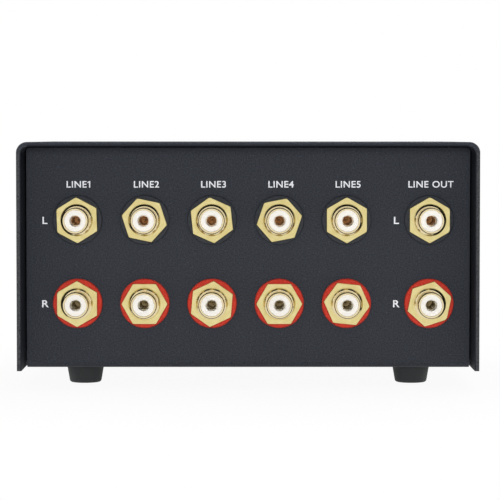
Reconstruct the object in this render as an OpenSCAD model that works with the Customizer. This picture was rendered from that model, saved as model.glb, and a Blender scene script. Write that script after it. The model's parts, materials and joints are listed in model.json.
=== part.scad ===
// Passive audio source selector: a bent-steel case with two rows of gold phono sockets on the
// rear panel (facing -Y) and a rotary selector knob on the front panel (facing +Y).
// Millimetres. The origin is on the surface that the feet stand on, at the middle of the outline.

/* [Case] */
// Outside width of the cover
case_w = 145; // [140:1:180]
// Height from the underside of the tray to the top of the cover
case_h = 72; // [68:0.5:90]
// Depth of the tray over its rear and front panels
tray_d = 85; // [78:1:130]
// Thickness of the steel sheet
sheet_t = 1.4; // [0.8:0.1:1.6]
// Outside bend radius of the cover
cover_bend_r = 3.4; // [2.4:0.1:5]
// Outside bend radius of the tray
tray_bend_r = 2.2; // [1.8:0.1:3]
// How far the cover stands out past the rear panel, as a hood over the sockets
rear_hood = 14; // [9:0.5:20]
// How far the cover stands out past the front panel
front_hood = 3; // [1:0.5:6]
// Gap between each side of the base and rear panel and the cover
side_gap = 0.5; // [0.2:0.05:0.8]
// Gap between each side of the front panel and the cover
front_gap = 0.1; // [0.05:0.05:0.3]
// Gap between the top edge of the rear panel and the cover
top_gap = 0.4; // [0.2:0.05:0.8]
// Gap between the rear panel's upper corners and the bends of the cover
corner_gap = 0.2; // [0.1:0.05:0.25]
// Least rounding of a corner of the sheet
corner_break = 0.3; // [0.1:0.1:0.6]
// How far the lower edge of the cover stops above the underside of the tray
cover_lift = 0.2; // [0:0.1:1]
// Height of the tray's side flanges
flange_h = 12; // [10:0.5:16]
// Gap between each end of a side flange and the face of the panel
flange_relief = 5; // [4:0.5:10]

/* [Screws] */
// Thread diameter of the cover and foot screws
screw_d = 3; // [2.5:0.1:3.5]
// Head diameter of the screws
screw_head_d = 5.6; // [5:0.1:6.5]
// Head height of the screws
screw_head_h = 2; // [1.5:0.1:2.5]
// Length of a cover screw under its head
cover_screw_len = 6; // [4:0.5:10]
// Distance of the cover screws from the panel faces
cover_screw_inset = 20; // [14:0.5:30]
// Height of the cover screws above the underside of the tray
cover_screw_rise = 6.5; // [5:0.5:7.5]
// Width of the cross recess in a screw head
screw_slot_w = 0.9; // [0.6:0.1:1.2]
// Radial clearance of a screw in its thread
thread_gap = 0.05; // [0.02:0.01:0.1]
// Radial clearance of a screw in a plain hole
screw_hole_gap = 0.2; // [0.1:0.05:0.4]

/* [Feet] */
// Diameter of a foot where it meets the tray
foot_top_d = 12.2; // [10:0.1:16]
// Diameter of a foot at the ground
foot_bottom_d = 10.1; // [9:0.1:14]
// Height of the feet
foot_h = 6.1; // [5:0.1:10]
// Rounding of the lower edge of a foot
foot_edge_r = 0.9; // [0.4:0.1:1.2]
// Distance of a foot's axis from the side of the case
foot_side = 19.55; // [14:0.05:28]
// Distance of the feet from the panel faces
foot_inset = 16; // [12:0.5:24]
// Depth of the screw recess in a foot
foot_recess_h = 3; // [2.6:0.1:4]
// Width across flats of a foot nut
foot_nut_af = 5.5; // [5:0.1:7]
// Thickness of a foot nut
foot_nut_t = 2.4; // [1.8:0.1:3]

/* [Socket layout] */
// Distance between neighbouring input columns
socket_pitch = 21.4; // [19:0.1:23]
// Distance from the last input column to the output column
output_step = 26.3; // [21:0.1:29]
// Sideways offset of the middle of the socket rows
row_shift = 1.65; // [-2:0.05:2]
// Height of the lower row above the underside of the tray
lower_row_z = 20.6; // [18:0.1:24]
// Distance between the two rows
row_pitch = 26.6; // [24:0.1:30]

/* [Sockets] */
// Outside diameter of the barrel
barrel_d = 8.3; // [8.1:0.05:8.5]
// Wall of the barrel
barrel_wall = 0.75; // [0.5:0.05:0.9]
// Length of the barrel from the face of the hexagon
barrel_len = 7.6; // [6.5:0.1:10]
// Width of the lead-in taper at the barrel's rim
lead_in = 0.25; // [0.1:0.05:0.4]
// Length of the lead-in taper
lead_len = 0.6; // [0.3:0.1:1]
// Chamfer on the end of the shank
shank_chamfer = 0.3; // [0.1:0.05:0.35]
// Depth of the undercut at the foot of the barrel
undercut = 0.3; // [0.1:0.05:0.35]
// Width of the undercut at the foot of the barrel
undercut_w = 0.7; // [0.4:0.1:1]
// Diameter of the tapered collar where it leaves the hexagon
collar_d = 10.3; // [9.6:0.1:11]
// Diameter of the collar's upper edge
collar_top_d = 8.8; // [8.6:0.1:9.4]
// Height of the tapered collar
collar_h = 0.8; // [0.4:0.1:1.2]
// Width of the hexagon across flats
hex_af = 12.7; // [11.5:0.1:14]
// Thickness of the hexagon
hex_t = 2.8; // [2:0.1:4]
// Chamfer on the corners of the hexagon and the nuts
hex_chamfer = 0.2; // [0.1:0.05:0.5]
// Thread diameter of the shank
shank_d = 8; // [7.4:0.1:8.2]
// Length of shank past its nut
shank_end = 1; // [0.5:0.1:2]
// Diameter of the outer insulating washer
washer_d = 15.8; // [14:0.1:18]
// Thickness of the outer insulating washer
washer_t = 1.2; // [0.8:0.1:1.8]
// Wall of the washer's shoulder inside the panel hole
shoulder_wall = 0.75; // [0.5:0.05:1]
// Diameter of the inner insulating washer
inner_washer_d = 13; // [12:0.1:15]
// Thickness of the inner insulating washer
inner_washer_t = 1; // [0.6:0.1:1.5]
// Thickness of a solder lug
lug_t = 0.5; // [0.3:0.05:0.8]
// Width of a solder lug's ring
lug_ring_w = 1.9; // [1.5:0.1:2.2]
// Reach of a solder lug from the socket axis to its eye
lug_reach = 9; // [8.4:0.1:10]
// Width of a solder lug's tab
lug_tab_w = 3; // [2.4:0.1:4]
// Diameter of a solder lug's eye
lug_eye_d = 1.5; // [1:0.1:1.8]
// Width across flats of a shank nut
nut_af = 11; // [10.4:0.1:12]
// Thickness of a shank nut
nut_t = 2.4; // [1.8:0.1:3]
// Diameter of the hole that takes the plug pin
pin_hole_d = 3.5; // [3.2:0.05:3.7]
// Depth of insulator in front of the contact
mouth_len = 3; // [2:0.1:4]
// Lead-in chamfer of the plug pin hole
mouth_chamfer = 0.25; // [0.1:0.05:0.4]
// How far the insulator lies behind the rim
insulator_recess = 0.4; // [0:0.05:0.6]
// Inside diameter of the contact tube, which springs open round a pin
contact_bore_d = 2.9; // [2.6:0.02:2.96]
// Wall of the contact tube
contact_wall = 0.45; // [0.3:0.05:0.6]
// Width of the slits in the contact tube
contact_slit_w = 0.5; // [0.3:0.05:0.8]
// Length of the slits in the contact tube
contact_slit_len = 5; // [3:0.5:7]
// Wall of the insulator round the contact tube
stem_wall = 0.6; // [0.4:0.05:0.8]
// Point angle of the drilled bore of a contact, in degrees
drill_angle = 150; // [118:1:160]
// Diameter of a contact's solder tail
tail_d = 1.6; // [1.2:0.1:2]
// Length of a contact's solder tail
tail_len = 5; // [3:0.5:8]
// Radial clearance between pieces that are pushed together
push_gap = 0.04; // [0.01:0.01:0.08]

/* [Knob] */
// Diameter of the knob
knob_d = 36; // [28:0.5:44]
// Length of the knob
knob_len = 17; // [15:0.5:22]
// Gap between the knob and the front panel
knob_gap = 1; // [0.6:0.1:2]
// Rounding of the knob's front edge
knob_edge_r = 1.5; // [0.6:0.1:2]
// Number of grip grooves round the knob
grip_count = 60; // [36:1:72]
// Radius of a grip groove
grip_r = 0.55; // [0.4:0.05:0.7]
// Depth of a grip groove
grip_depth = 0.4; // [0.2:0.05:0.5]
// Plain band at the front and back of the grip
grip_band = 2.6; // [2:0.1:4]
// Depth of the dished face
dish_depth = 0.8; // [0.3:0.1:1]
// Width of the rim round the dished face
dish_rim = 2.4; // [2.2:0.1:4]
// Width of the pointer line
pointer_w = 1.6; // [1:0.1:2.4]
// Length of the pointer line
pointer_len = 8; // [5:0.5:10]
// Thickness of the pointer inlay
pointer_t = 0.8; // [0.5:0.1:1.2]
// Diameter of the set screw
set_screw_d = 3; // [2.5:0.1:4]
// Length of the set screw
set_screw_len = 6; // [4:0.5:8]
// Width across corners of the set screw's hexagon recess
set_screw_key = 1.8; // [1.2:0.1:2]
// Depth of the set screw's hexagon recess
set_screw_key_len = 2.4; // [1.5:0.1:3]

/* [Switch] */
// Height of the knob axis above the underside of the tray
selector_z = 36; // [34:0.5:44]
// Turn between neighbouring positions, in degrees
step_angle = 30; // [30]
// Diameter of the shaft
shaft_d = 6; // [5.5:0.1:6.4]
// Depth of the flat on the shaft
shaft_flat = 1.5; // [0.8:0.1:2]
// Length of shaft inside the knob
shaft_grip = 6.5; // [5:0.1:7]
// Radial clearance of the shaft in its bushing
shaft_gap = 0.05; // [0.02:0.01:0.1]
// Thread diameter of the bushing
bushing_d = 9; // [8.4:0.1:10]
// Length of bushing in front of the panel
bushing_len = 7; // [5:0.1:7.4]
// Width across flats of the panel nut
panel_nut_af = 12; // [11.6:0.1:13]
// Thickness of the panel nut
panel_nut_t = 2.2; // [1.6:0.1:3]
// Diameter of the toothed washer
tooth_washer_d = 13.6; // [12:0.1:15]
// Thickness of the toothed washer
tooth_washer_t = 0.6; // [0.4:0.1:1]
// Number of teeth of the toothed washer
tooth_count = 12; // [8:1:16]
// Width and depth of the gaps between the teeth
tooth_gap_w = 1.1; // [0.8:0.1:1.4]
// Thickness of the retaining ring
ring_t = 0.7; // [0.5:0.1:0.9]
// Outside diameter of the retaining ring
ring_d = 9; // [8:0.1:10]
// Width of the mouth of the retaining ring
ring_mouth_w = 3.2; // [2:0.1:4]
// Depth of the shaft groove for the retaining ring
ring_groove = 0.6; // [0.3:0.1:0.9]
// Diameter of the switch body
switch_d = 26; // [25:0.5:32]
// Wall of the switch housing between its notches
housing_wall = 2.8; // [2:0.1:3.2]
// Depth of the switch housing
housing_len = 11; // [10.6:0.1:14]
// Thickness of the mounting plate
plate_t = 1.6; // [1.2:0.1:2.4]
// Diameter of the locating peg
peg_d = 2.4; // [1.6:0.1:3]
// Distance of the locating peg from the axis
peg_reach = 9.6; // [9:0.1:10.5]
// Thickness of the terminal base
base_t = 2; // [1.5:0.1:3]
// Diameter of a detent ball
ball_d = 3; // [2.4:0.1:3.2]
// Depth of a detent notch
notch_depth = 0.35; // [0.1:0.05:0.5]
// Radius of a detent notch
notch_r = 1.7; // [1.6:0.05:2]
// Running clearance inside the switch
run_gap = 0.3; // [0.2:0.05:0.5]
// Clearance of a detent ball under the housing's lands
ball_gap = 0.05; // [0.03:0.01:0.15]
// Wire diameter of the detent spring
spring_wire_d = 0.4; // [0.3:0.05:0.5]
// Number of turns of the detent spring
spring_turns = 10; // [6:1:12]
// Thickness of rotor around the shaft's end
rotor_seat = 3.5; // [3:0.1:4]
// Width of a wiper
wiper_w = 2.4; // [1.6:0.1:3]
// Thickness of a wiper
wiper_t = 0.4; // [0.3:0.05:0.6]
// Diameter of a wiper's contact button
button_d = 1.6; // [1.2:0.1:2]
// Gap between a terminal rivet's head and the housing's wall
terminal_gap = 0.6; // [0.3:0.1:1]
// Distance of the two common terminals from the axis
common_reach = 3.8; // [3.4:0.1:4.2]
// Shank diameter of a terminal rivet
rivet_d = 1.6; // [1.2:0.1:1.8]
// Height of a terminal rivet's head
rivet_head_h = 0.4; // [0.3:0.05:0.6]
// Width of a terminal tag
tag_w = 2.2; // [1.6:0.1:2.6]
// Thickness of a terminal tag
tag_t = 0.8; // [0.5:0.05:1]
// Length of a terminal tag
tag_len = 5; // [3:0.5:7]

/* [Wiring] */
// Diameter of an insulated wire
wire_d = 1.4; // [0.8:0.1:1.6]
// Diameter of the bare earth bus
bus_d = 1; // [0.6:0.1:1.2]
// Spacing of the wires in the loom
wire_layer = 2.2; // [2:0.1:2.6]
// Gap at each soldered joint
solder_gap = 0.1; // [0.05:0.01:0.2]

/* [Hidden] */
$fn = 64;
// Extra length of a cutting tool past the face that it cuts
over = 1;
CHANNELS = ["left", "right"];
PORTS = ["1", "2", "3", "4", "5", "out"];
LEFT = 0;
RIGHT = 1;
INPUTS = 5;
OUT = 5;
function shell_name(row, col) = str("socket_shell_", CHANNELS[row], "_", PORTS[col]);
function insulator_name(row, col) = str("socket_insulator_", CHANNELS[row], "_", PORTS[col]);
SOCKET_NODES = [
    for (row = [LEFT, RIGHT], col = [0 : OUT], kind = [0, 1])
        kind == 0 ? shell_name(row, col) : insulator_name(row, col)
];

// Places along the depth
total_d = rear_hood + tray_d + max(front_hood, knob_gap + knob_len);
cover_rear_y = -total_d / 2;
rear_y = cover_rear_y + rear_hood;
front_y = rear_y + tray_d;
cover_front_y = front_y + front_hood;

// Places up the height
tray_z = foot_h;
cover_z = tray_z + cover_lift;
top_z = tray_z + case_h;
cover_h = top_z - cover_z;
front_panel_h = case_h - sheet_t;
rear_panel_h = front_panel_h - top_gap;

// Tray and cover
tray_w = case_w - 2 * sheet_t - 2 * side_gap;
front_w = case_w - 2 * sheet_t - 2 * front_gap;
cover_inner_r = cover_bend_r - sheet_t;
// The rear panel's corners are as square as the bends of the cover leave room for
corner_room = (sqrt(2) * min(side_gap, top_gap) - corner_gap) / (sqrt(2) - 1);
rear_corner_r = max(corner_break, cover_inner_r - corner_room);
screw_hole_d = screw_d + 2 * screw_hole_gap;
thread_hole_d = screw_d + 2 * thread_gap;
cover_screw_ys = [rear_y + cover_screw_inset, front_y - cover_screw_inset];
cover_screw_z = tray_z + cover_screw_rise;

// Feet
foot_ys = [rear_y + foot_inset, front_y - foot_inset];
foot_recess_d = screw_head_d + 4 * screw_hole_gap;
foot_screw_len = foot_h - foot_recess_h + sheet_t + foot_nut_t + screw_d / 4;

// Socket layout, with the angle of each hexagon as it was tightened, clockwise from point-up
first_x = row_shift - ((INPUTS - 1) * socket_pitch + output_step) / 2;
function socket_x(col) =
    first_x + min(col, INPUTS - 1) * socket_pitch + (col == OUT ? output_step : 0);
function socket_z(row) = tray_z + lower_row_z + (row == LEFT ? row_pitch : 0);
hex_turns = [[-2, 42, -6, 19, 0, 0], [0, 30, 5, 30, 36, 12]];

// Socket lengths along its axis, from the outer face of the rear panel outwards
hex_z = washer_t;
collar_z = hex_z + hex_t;
rim_z = collar_z + barrel_len;
lug_z = -sheet_t - inner_washer_t - lug_t;
nut_z = lug_z - nut_t;
shank_z = nut_z - shank_end;
mouth_z = rim_z - insulator_recess;
contact_z = mouth_z - mouth_len;
contact_tip_z = shank_z - contact_bore_d / 2 / tan(drill_angle / 2);
contact_foot_z = contact_tip_z - contact_wall;
tail_z = contact_foot_z - tail_len;

// Socket diameters
washer_bore_d = shank_d + 2 * screw_hole_gap;
shoulder_d = washer_bore_d + 2 * shoulder_wall;
panel_hole_d = shoulder_d + 2 * screw_hole_gap;
insulator_d = barrel_d - 2 * barrel_wall;
contact_d = contact_bore_d + 2 * contact_wall;
stem_d = contact_d + 2 * push_gap + 2 * stem_wall;

// Switch lengths along its axis, from the outer face of the front panel outwards
plate_z = -sheet_t - plate_t;
housing_z = plate_z - housing_len;
base_z = housing_z - base_t;
tag_z = base_z - tag_len;
rotor_top_z = plate_z - run_gap;
shaft_foot_z = rotor_top_z - rotor_seat;
ball_bore_d = ball_d + 4 * push_gap;
ball_z = shaft_foot_z - push_gap - ball_bore_d / 2 - wiper_t;
rotor_foot_z = ball_z - ball_bore_d / 2 - wiper_t;
ring_z = bushing_len + run_gap / 2;
counterbore_z = ring_z + ring_t + 2 * run_gap;
shaft_tip_z = counterbore_z + shaft_grip;
knob_front_z = knob_gap + knob_len;
grip_top_z = knob_front_z - grip_band;
set_screw_z = (counterbore_z + shaft_tip_z) / 2;

// Switch diameters
land_r = switch_d / 2 - housing_wall;
rotor_r = land_r - 2 * run_gap;
rivet_head_r = rivet_d / 2 + rivet_head_h;
terminal_reach = land_r - terminal_gap - rivet_head_r;
ball_reach = land_r - ball_gap - ball_d / 2;
counterbore_d = max(tooth_washer_d, panel_nut_af / cos(30)) + 6 * run_gap;
shaft_flat_y = shaft_flat - shaft_d / 2;

// Angles of a pole's contacts seen from the front, first position to last, clockwise
function contact_angle(row, i) =
    (row == LEFT ? 90 : 270) - (i - (INPUTS - 1) / 2) * step_angle;
// A terminal's place in the switch's own frame, outer ones for the inputs and an inner one for the output
function terminal_xy(row, col) =
    col == OUT
    ? common_reach * [0, row == LEFT ? 1 : -1]
    : terminal_reach * [cos(contact_angle(row, col)), sin(contact_angle(row, col))];

// Places a socket piece, modelled with +Z outwards, in the rear panel
module at_socket(row, col) {
    translate([socket_x(col), rear_y, socket_z(row)])
        rotate([90, 0, 0])
            children();
}

// Places a switch piece, modelled with +Z outwards, in the front panel
module at_selector() {
    translate([0, front_y, tray_z + selector_z])
        rotate([90, 0, 180])
            children();
}

// Places a cover screw, modelled with +Z outwards, on each side of the case
module at_cover_screws() {
    for (side = [-1, 1], y = cover_screw_ys)
        translate([side * case_w / 2, y, cover_screw_z])
            rotate([0, side * 90, 0])
                children();
}

// Places a foot piece, modelled upwards from the ground, at one corner
module at_foot(side, end) {
    translate([side * (case_w / 2 - foot_side), foot_ys[end], 0])
        children();
}

module at_feet() {
    for (side = [-1, 1], end = [0, 1])
        at_foot(side, end)
            children();
}

// Raises a profile drawn in X and Z along the depth
module along_y(from_y, to_y) {
    translate([0, to_y, 0])
        rotate([90, 0, 0])
            linear_extrude(to_y - from_y)
                children();
}

// A plate outline whose two upper corners are rounded
module arched(w, h, r) {
    translate([-w / 2, 0])
        square([w, h - r]);
    translate([r - w / 2, 0])
        square([w - 2 * r, h]);
    for (side = [-1, 1])
        translate([side * (w / 2 - r), h - r])
            circle(r);
}

// A sheet bent into a U that opens downwards
module bent_sheet(w, h, r) {
    difference() {
        arched(w, h, r);
        translate([0, -over])
            arched(w - 2 * sheet_t, h - sheet_t + over, r - sheet_t);
    }
}

// A plain ring from z = 0 up
module ring(outer_d, inner_d, h) {
    linear_extrude(h)
        difference() {
            circle(d = outer_d);
            circle(d = inner_d);
        }
}

// A hexagon prism with a vertex at +Y and turned chamfers on its upper corners
module hexagon(af, h) {
    corner_r = af / 2 / cos(30);
    intersection() {
        rotate(90)
            cylinder(r = corner_r, h = h, $fn = 6);
        rotate_extrude()
            polygon([
                [0, 0],
                [corner_r, 0],
                [corner_r, h - hex_chamfer],
                [corner_r - 2 * hex_chamfer, h],
                [0, h]
            ]);
    }
}

// A domed screw head with a cross recess, standing on z = 0
module screw_head() {
    dome_r = (pow(screw_head_d, 2) + pow(screw_head_h, 2)) / 4 / screw_head_h;
    difference() {
        intersection() {
            cylinder(d = screw_head_d, h = screw_head_h);
            translate([0, 0, screw_head_h - dome_r])
                sphere(dome_r);
        }
        for (turn = [0, 90])
            rotate(turn)
                translate([-screw_head_d / 4, -screw_slot_w / 2, screw_head_h / 2])
                    cube([screw_head_d / 2, screw_slot_w, screw_head_h]);
    }
}

// A whole screw, with its head above z = 0 and its shank below
module screw(len) {
    screw_head();
    translate([0, 0, -len])
        cylinder(d = screw_d, h = len);
}

// Case
module chassis_tray() {
    color("#2b2c31")
        difference() {
            tray_sheet();
            for (row = [LEFT, RIGHT], col = [0 : OUT])
                at_socket(row, col)
                    panel_hole(panel_hole_d);
            at_selector() {
                panel_hole(bushing_d + 2 * screw_hole_gap);
                translate([0, peg_reach, 0])
                    panel_hole(peg_d + 2 * screw_hole_gap);
            }
            at_cover_screws()
                translate([0, 0, -cover_screw_len - over])
                    cylinder(d = thread_hole_d, h = cover_screw_len);
            at_feet()
                translate([0, 0, foot_h - over])
                    cylinder(d = screw_hole_d, h = sheet_t + 2 * over);
        }
}

// A hole through a panel at the origin
module panel_hole(d) {
    translate([0, 0, -sheet_t - over])
        cylinder(d = d, h = sheet_t + 2 * over);
}

// The base, bent up into the two panels and into a flange at each side. The cover rests on the front
// panel, which is a little wider and fills its opening
module tray_sheet() {
    middle_y = (rear_y + front_y) / 2;
    flange_y = [rear_y + flange_relief, front_y - flange_relief];
    difference() {
        intersection() {
            translate([-front_w / 2, middle_y, tray_z + front_panel_h])
                rotate([90, 0, 90])
                    linear_extrude(front_w)
                        mirror([0, 1])
                            bent_sheet(tray_d, front_panel_h, tray_bend_r);
            translate([0, 0, tray_z]) {
                along_y(rear_y, front_y - tray_bend_r)
                    arched(tray_w, rear_panel_h, rear_corner_r);
                along_y(front_y - tray_bend_r, front_y)
                    arched(front_w, front_panel_h, cover_inner_r);
            }
        }
        for (side = [-1, 1])
            translate([side * tray_w / 2, middle_y, tray_z])
                cube([2 * tray_bend_r, flange_y[1] - flange_y[0], 2 * tray_bend_r], center = true);
    }
    translate([0, 0, tray_z + flange_h])
        along_y(flange_y[0], flange_y[1])
            mirror([0, 1])
                bent_sheet(tray_w, flange_h, tray_bend_r);
}

module top_cover() {
    color("#2e2f34")
        difference() {
            translate([0, 0, cover_z])
                along_y(cover_rear_y, cover_front_y)
                    bent_sheet(case_w, cover_h, cover_bend_r);
            at_cover_screws()
                panel_hole(screw_hole_d);
        }
}

module cover_screws() {
    color("#1c1c1e")
        at_cover_screws()
            screw(cover_screw_len);
}

// Feet
module foot(side, end) {
    taper = atan((foot_top_d - foot_bottom_d) / 2 / foot_h);
    edge_x = foot_bottom_d / 2 + foot_edge_r * (tan(taper) - 1 / cos(taper));
    color("#333536")
        at_foot(side, end)
            difference() {
                rotate_extrude() {
                    polygon([
                        [0, 0],
                        [edge_x, 0],
                        [edge_x + foot_edge_r * cos(taper), foot_edge_r * (1 - sin(taper))],
                        [foot_top_d / 2, foot_h],
                        [0, foot_h]
                    ]);
                    intersection() {
                        translate([edge_x, foot_edge_r])
                            circle(foot_edge_r);
                        square(foot_h);
                    }
                }
                translate([0, 0, -over])
                    cylinder(d = foot_recess_d, h = foot_recess_h + over);
                cylinder(d = screw_hole_d, h = foot_h + over);
            }
}

module foot_screws() {
    color("#8d8f92")
        at_feet()
            translate([0, 0, foot_recess_h])
                mirror([0, 0, 1])
                    screw(foot_screw_len);
}

module foot_nuts() {
    color("#a9abad")
        at_feet()
            translate([0, 0, foot_h + sheet_t])
                difference() {
                    hexagon(foot_nut_af, foot_nut_t);
                    translate([0, 0, -over])
                        cylinder(d = thread_hole_d, h = foot_nut_t + 2 * over);
                }
}

// Sockets
module socket_shell(row, col) {
    color("#d9c27a")
        at_socket(row, col)
            difference() {
                union() {
                    translate([0, 0, hex_z])
                        rotate(-hex_turns[row][col])
                            hexagon(hex_af, hex_t);
                    rotate_extrude()
                        shell_profile();
                }
                translate([0, 0, hex_z])
                    cylinder(d = insulator_d + 2 * push_gap, h = rim_z);
                translate([0, 0, shank_z - over])
                    cylinder(d = stem_d + 2 * push_gap, h = rim_z - shank_z);
            }
}

// Half section of the shank, collar and barrel, from the shank's end to the rim
module shell_profile() {
    barrel_r = barrel_d / 2;
    groove_z = collar_z + collar_h;
    polygon([
        [0, shank_z],
        [shank_d / 2 - shank_chamfer, shank_z],
        [shank_d / 2, shank_z + shank_chamfer],
        [shank_d / 2, collar_z],
        [collar_d / 2, collar_z],
        [collar_top_d / 2, groove_z],
        [barrel_r - undercut, groove_z],
        [barrel_r - undercut, groove_z + undercut_w],
        [barrel_r, groove_z + undercut_w],
        [barrel_r, rim_z - lead_len],
        [barrel_r - lead_in, rim_z],
        [0, rim_z]
    ]);
}

module socket_insulator(row, col) {
    color("#f2f0ea")
        at_socket(row, col)
            rotate_extrude()
                polygon([
                    [pin_hole_d / 2, contact_z],
                    [pin_hole_d / 2, mouth_z - mouth_chamfer],
                    [pin_hole_d / 2 + mouth_chamfer, mouth_z],
                    [insulator_d / 2, mouth_z],
                    [insulator_d / 2, hex_z + push_gap],
                    [stem_d / 2, hex_z + push_gap],
                    [stem_d / 2, shank_z],
                    [contact_d / 2 + push_gap, shank_z],
                    [contact_d / 2 + push_gap, contact_z]
                ]);
}

// Contact tubes, drilled from the mouth and split into four fingers there, each with a solder tail
module contacts(row) {
    color("#c9a24f")
        for (col = [0 : OUT])
            at_socket(row, col)
                difference() {
                    union() {
                        translate([0, 0, contact_foot_z])
                            cylinder(d = contact_d, h = contact_z - push_gap - contact_foot_z);
                        translate([0, 0, tail_z])
                            cylinder(d = tail_d, h = contact_tip_z - tail_z);
                    }
                    rotate_extrude()
                        polygon([
                            [0, contact_tip_z],
                            [contact_bore_d / 2, shank_z],
                            [contact_bore_d / 2, contact_z + over],
                            [0, contact_z + over]
                        ]);
                    for (turn = [45, 135])
                        rotate(turn)
                            translate([-contact_d, -contact_slit_w / 2, contact_z - contact_slit_len])
                                cube([2 * contact_d, contact_slit_w, contact_slit_len + over]);
                }
}

// Outer washers of one row, with a shoulder that centres the shank in the panel hole
module outer_washers(row) {
    edge = washer_t / 4;
    for (col = [0 : OUT])
        at_socket(row, col)
            rotate_extrude()
                polygon([
                    [washer_bore_d / 2, -sheet_t + screw_hole_gap],
                    [shoulder_d / 2, -sheet_t + screw_hole_gap],
                    [shoulder_d / 2, 0],
                    [washer_d / 2, 0],
                    [washer_d / 2, washer_t - edge],
                    [washer_d / 2 - edge, washer_t],
                    [washer_bore_d / 2, washer_t]
                ]);
}

module black_washers() {
    color("#26262a")
        outer_washers(LEFT);
}

module red_washers() {
    color("#b93a2c")
        outer_washers(RIGHT);
}

module inner_washers() {
    color("#3a3a3c")
        for (row = [LEFT, RIGHT], col = [0 : OUT])
            at_socket(row, col)
                translate([0, 0, -sheet_t - inner_washer_t])
                    ring(inner_washer_d, washer_bore_d, inner_washer_t);
}

// The lugs of the two rows point at each other
module solder_lugs() {
    eye_end = lug_tab_w / 2;
    color("#c8c4b8")
        for (row = [LEFT, RIGHT], col = [0 : OUT])
            at_socket(row, col)
                translate([0, 0, lug_z])
                    rotate(row == LEFT ? -90 : 90)
                        linear_extrude(lug_t)
                            difference() {
                                union() {
                                    circle(d = washer_bore_d + 2 * lug_ring_w);
                                    translate([0, -lug_tab_w / 2])
                                        square([lug_reach, lug_tab_w]);
                                    translate([lug_reach, 0])
                                        circle(eye_end);
                                }
                                circle(d = washer_bore_d);
                                translate([lug_reach, 0])
                                    circle(d = lug_eye_d);
                            }
}

module socket_nuts() {
    color("#cdb469")
        for (row = [LEFT, RIGHT], col = [0 : OUT])
            at_socket(row, col)
                translate([0, 0, lug_z])
                    mirror([0, 0, 1])
                        difference() {
                            hexagon(nut_af, nut_t);
                            translate([0, 0, -over])
                                cylinder(d = shank_d + 2 * thread_gap, h = nut_t + 2 * over);
                        }
}

// Knob
module selector_knob() {
    color("#232326")
        at_selector()
            difference() {
                translate([0, 0, knob_gap])
                    rotate_extrude()
                        knob_profile();
                for (i = [0 : grip_count - 1])
                    rotate(i * 360 / grip_count)
                        translate([knob_d / 2 + grip_r - grip_depth, 0, knob_gap + grip_band])
                            cylinder(r = grip_r, h = grip_top_z - knob_gap - grip_band);
                translate([0, 0, knob_gap - over])
                    cylinder(d = counterbore_d, h = counterbore_z - knob_gap + over);
                shaft_bar(push_gap, counterbore_z - over, shaft_tip_z + run_gap);
                translate([0, shaft_flat_y, set_screw_z])
                    rotate([90, 0, 0])
                        cylinder(d = set_screw_d + 2 * thread_gap, h = knob_d);
                pointer_bar(push_gap);
            }
}

// Half section of the knob, turned with a dished face and a rounded front edge
module knob_profile() {
    dish_r = knob_d / 2 - dish_rim;
    difference() {
        union() {
            square([knob_d / 2, knob_len - knob_edge_r]);
            square([knob_d / 2 - knob_edge_r, knob_len]);
            translate([knob_d / 2 - knob_edge_r, knob_len - knob_edge_r])
                circle(knob_edge_r);
        }
        polygon([
            [0, knob_len - dish_depth],
            [dish_r - dish_depth, knob_len - dish_depth],
            [dish_r + over, knob_len + over],
            [0, knob_len + over]
        ]);
    }
}

// The pointer's round-ended bar, widened all round by gap
module pointer_bar(gap) {
    tip_y = knob_d / 2 - dish_rim - dish_depth - pointer_w;
    face_z = knob_front_z - dish_depth;
    translate([0, 0, face_z - pointer_t / 2 - gap])
        linear_extrude(pointer_t + gap) {
            translate([-pointer_w / 2 - gap, tip_y - pointer_len])
                square([pointer_w + 2 * gap, pointer_len]);
            for (end_y = [tip_y - pointer_len, tip_y])
                translate([0, end_y])
                    circle(d = pointer_w + 2 * gap);
        }
}

module knob_pointer() {
    color("#ecebe6")
        at_selector()
            pointer_bar(0);
}

module knob_set_screw() {
    color("#3c3c40")
        at_selector()
            translate([0, shaft_flat_y - push_gap, set_screw_z])
                rotate([90, 0, 0])
                    difference() {
                        cylinder(d = set_screw_d, h = set_screw_len);
                        translate([0, 0, set_screw_len - set_screw_key_len])
                            cylinder(d = set_screw_key, h = set_screw_len, $fn = 6);
                    }
}

// A length of the flatted shaft, grown by gap
module shaft_bar(gap, from_z, to_z) {
    r = shaft_d / 2 + gap;
    translate([0, 0, from_z])
        linear_extrude(to_z - from_z)
            difference() {
                circle(r);
                translate([-2 * r, shaft_flat_y - gap - 2 * r])
                    square([4 * r, 2 * r]);
            }
}

module selector_shaft() {
    groove_d = shaft_d - 2 * ring_groove;
    color("#b9b6ad")
        at_selector() {
            translate([0, 0, shaft_foot_z])
                cylinder(d = shaft_d, h = ring_z - shaft_foot_z);
            translate([0, 0, ring_z])
                cylinder(d = groove_d, h = ring_t + push_gap);
            shaft_bar(0, ring_z + ring_t + push_gap, shaft_tip_z);
        }
}

// An open ring sprung into the shaft's groove
module retaining_ring() {
    inner_d = shaft_d - 2 * ring_groove + 2 * push_gap;
    color("#6f7073")
        at_selector()
            translate([0, 0, ring_z])
                linear_extrude(ring_t - push_gap)
                    difference() {
                        circle(d = ring_d);
                        circle(d = inner_d);
                        translate([0, -ring_mouth_w / 2])
                            square([ring_d, ring_mouth_w]);
                    }
}

// Switch
module switch_bushing() {
    color("#b8babd")
        at_selector()
            difference() {
                union() {
                    translate([0, 0, plate_z])
                        cylinder(d = switch_d, h = plate_t);
                    translate([0, 0, plate_z])
                        cylinder(d = bushing_d, h = bushing_len - plate_z);
                    translate([0, peg_reach, plate_z])
                        cylinder(d = peg_d, h = plate_t + sheet_t - screw_hole_gap);
                }
                translate([0, 0, plate_z - over])
                    cylinder(d = shaft_d + 2 * shaft_gap, h = bushing_len - plate_z + 2 * over);
            }
}

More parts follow.
